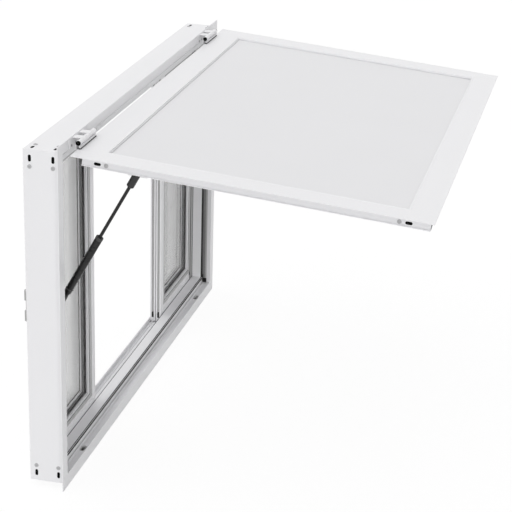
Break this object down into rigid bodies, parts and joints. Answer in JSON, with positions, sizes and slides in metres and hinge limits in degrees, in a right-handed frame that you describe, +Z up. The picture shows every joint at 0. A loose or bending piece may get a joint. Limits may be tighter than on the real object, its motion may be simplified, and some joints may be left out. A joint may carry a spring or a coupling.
{
  "type": "concession window",
  "caption": "Concession window: flanged box frame, awning door hinged at the head and held open by gas struts, and sliding sashes behind an open serving gap.",
  "frame": {"origin": "middle of the lower flange lip, on its rear face, which lies on the wall's outer skin", "axes": "+X to the right seen from outside, +Y into the wall, +Z up"},
  "size_m": [1.376, 0.9439, 0.868],
  "materials": {
    "white_frame": "satin white powder coat",
    "white_panel": "smooth white sheet",
    "white_fitting": "satin white powder coat",
    "glass": "clear",
    "seal": "matte",
    "pin": "satin",
    "strut_black": "gloss black",
    "strut_steel": "polished",
    "black_plastic": "matte",
    "grey_fitting": "satin"
  },
  "bodies": {
    "window": {"frame_head": "white_frame", "frame_sill": "white_frame", "frame_jamb_left": "white_frame", "frame_jamb_right": "white_frame", "track_head": "white_frame", "track_sill": "white_frame", "track_jamb_left": "white_frame", "track_jamb_right": "white_frame", "front_seal": "seal", "sash_fixed_left": "white_frame", "pane_fixed_left": "glass", "sash_fixed_right": "white_frame", "pane_fixed_right": "glass", "sash_sliding_left": "white_frame", "pane_sliding_left": "glass", "sash_sliding_right": "white_frame", "pane_sliding_right": "glass", "keeper_left": "grey_fitting", "keeper_right": "grey_fitting", "latch_left": "grey_fitting", "latch_right": "grey_fitting", "hinge_leaf_left": "white_fitting", "hinge_leaf_right": "white_fitting", "hinge_pin_left": "pin", "hinge_pin_right": "pin", "strut_mount_left": "white_fitting", "strut_mount_right": "white_fitting"},
    "door": {"door_rail_hinge": "white_frame", "door_rail_outer": "white_frame", "door_stile_left": "white_frame", "door_stile_right": "white_frame", "door_panel": "white_panel", "door_leaf_left": "white_fitting", "door_leaf_right": "white_fitting", "strut_bracket_left": "white_fitting", "strut_bracket_right": "white_fitting"},
    "cylinder_left": {"strut_tube_left": "strut_black"},
    "rod_left": {"strut_rod_left": "strut_steel", "strut_socket_left": "black_plastic"},
    "cylinder_right": {"strut_tube_right": "strut_black"},
    "rod_right": {"strut_rod_right": "strut_steel", "strut_socket_right": "black_plastic"}
  },
  "joints": [
    {"name": "door_hinge", "type": "hinge", "parent": "window", "child": "door", "pos_m": [0, -0.025, 0.8522], "axis": [1, 0, 0], "range_deg": [0, 85]},
    {"name": "strut_swing_left", "type": "hinge", "parent": "window", "child": "cylinder_left", "pos_m": [-0.617, 0.02, 0.4595], "axis": [1, 0, 0], "range_deg": [-30.2, 0]},
    {"name": "strut_slide_left", "type": "slide", "parent": "cylinder_left", "child": "rod_left", "axis": [0, -0.4847, 0.8747], "range_m": [-0.1283, 0]},
    {"name": "strut_swing_right", "type": "hinge", "parent": "window", "child": "cylinder_right", "pos_m": [0.617, 0.02, 0.4595], "axis": [1, 0, 0], "range_deg": [-30.2, 0]},
    {"name": "strut_slide_right", "type": "slide", "parent": "cylinder_right", "child": "rod_right", "axis": [0, -0.4847, 0.8747], "range_m": [-0.1283, 0]}
  ],
  "couplings": [
    {"joint": "strut_swing_left", "follows": "door_hinge", "ratio": -0.35458},
    {"joint": "strut_slide_left", "follows": "door_hinge", "m_per_rad": -0.086291},
    {"joint": "strut_swing_right", "follows": "door_hinge", "ratio": -0.35458},
    {"joint": "strut_slide_right", "follows": "door_hinge", "m_per_rad": -0.086291}
  ]
}
